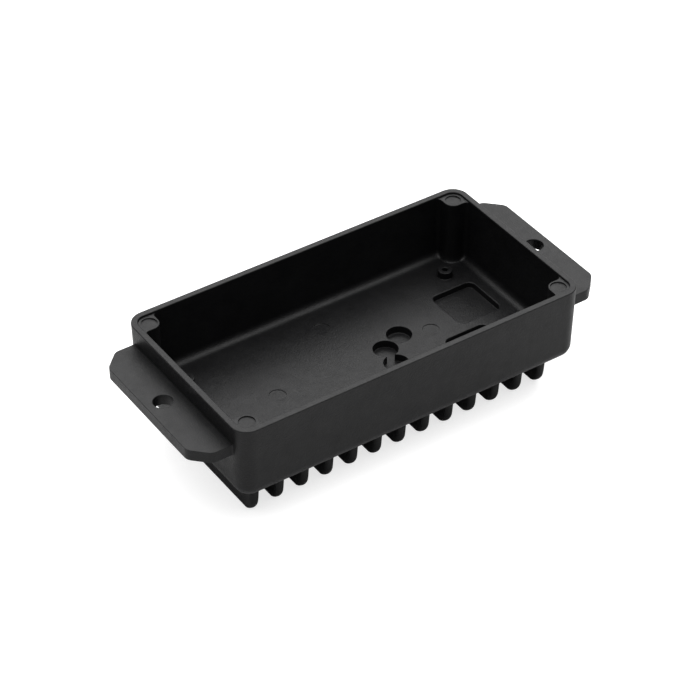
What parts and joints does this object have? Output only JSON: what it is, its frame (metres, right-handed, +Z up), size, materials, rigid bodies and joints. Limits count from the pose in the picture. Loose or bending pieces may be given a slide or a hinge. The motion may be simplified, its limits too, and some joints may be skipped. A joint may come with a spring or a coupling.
{
  "type": "charge controller housing",
  "caption": "Open die-cast heat-sink housing of a small charge controller, with corner posts, mounting ears, board standoffs and cooling fins underneath.",
  "frame": {"origin": "middle of the plane of the fin tips, which the part stands on", "axes": "+X along the tray through both ears, +Y to its back, +Z up to the open rim"},
  "size_m": [0.1342, 0.0598, 0.036],
  "materials": {
    "black_coated_casting": "semi-gloss black coat on die-cast aluminium"
  },
  "bodies": {
    "root": {"floor_plate": "black_coated_casting", "front_wall": "black_coated_casting", "back_wall": "black_coated_casting", "left_wall": "black_coated_casting", "right_wall": "black_coated_casting", "corner_post_front_left": "black_coated_casting", "corner_post_front_right": "black_coated_casting", "corner_post_back_left": "black_coated_casting", "corner_post_back_right": "black_coated_casting", "mounting_ear_left": "black_coated_casting", "mounting_ear_right": "black_coated_casting", "pcb_standoff_front_left": "black_coated_casting", "pcb_standoff_front_right": "black_coated_casting", "pcb_standoff_back_left": "black_coated_casting", "pcb_standoff_back_right": "black_coated_casting", "cooling_fin_01": "black_coated_casting", "cooling_fin_02": "black_coated_casting", "cooling_fin_03": "black_coated_casting", "cooling_fin_04": "black_coated_casting", "cooling_fin_05": "black_coated_casting", "cooling_fin_06": "black_coated_casting", "cooling_fin_07": "black_coated_casting", "cooling_fin_08": "black_coated_casting", "cooling_fin_09": "black_coated_casting", "cooling_fin_10": "black_coated_casting", "cooling_fin_11": "black_coated_casting", "cooling_fin_12": "black_coated_casting", "cooling_fin_13": "black_coated_casting"}
  },
  "joints": []
}
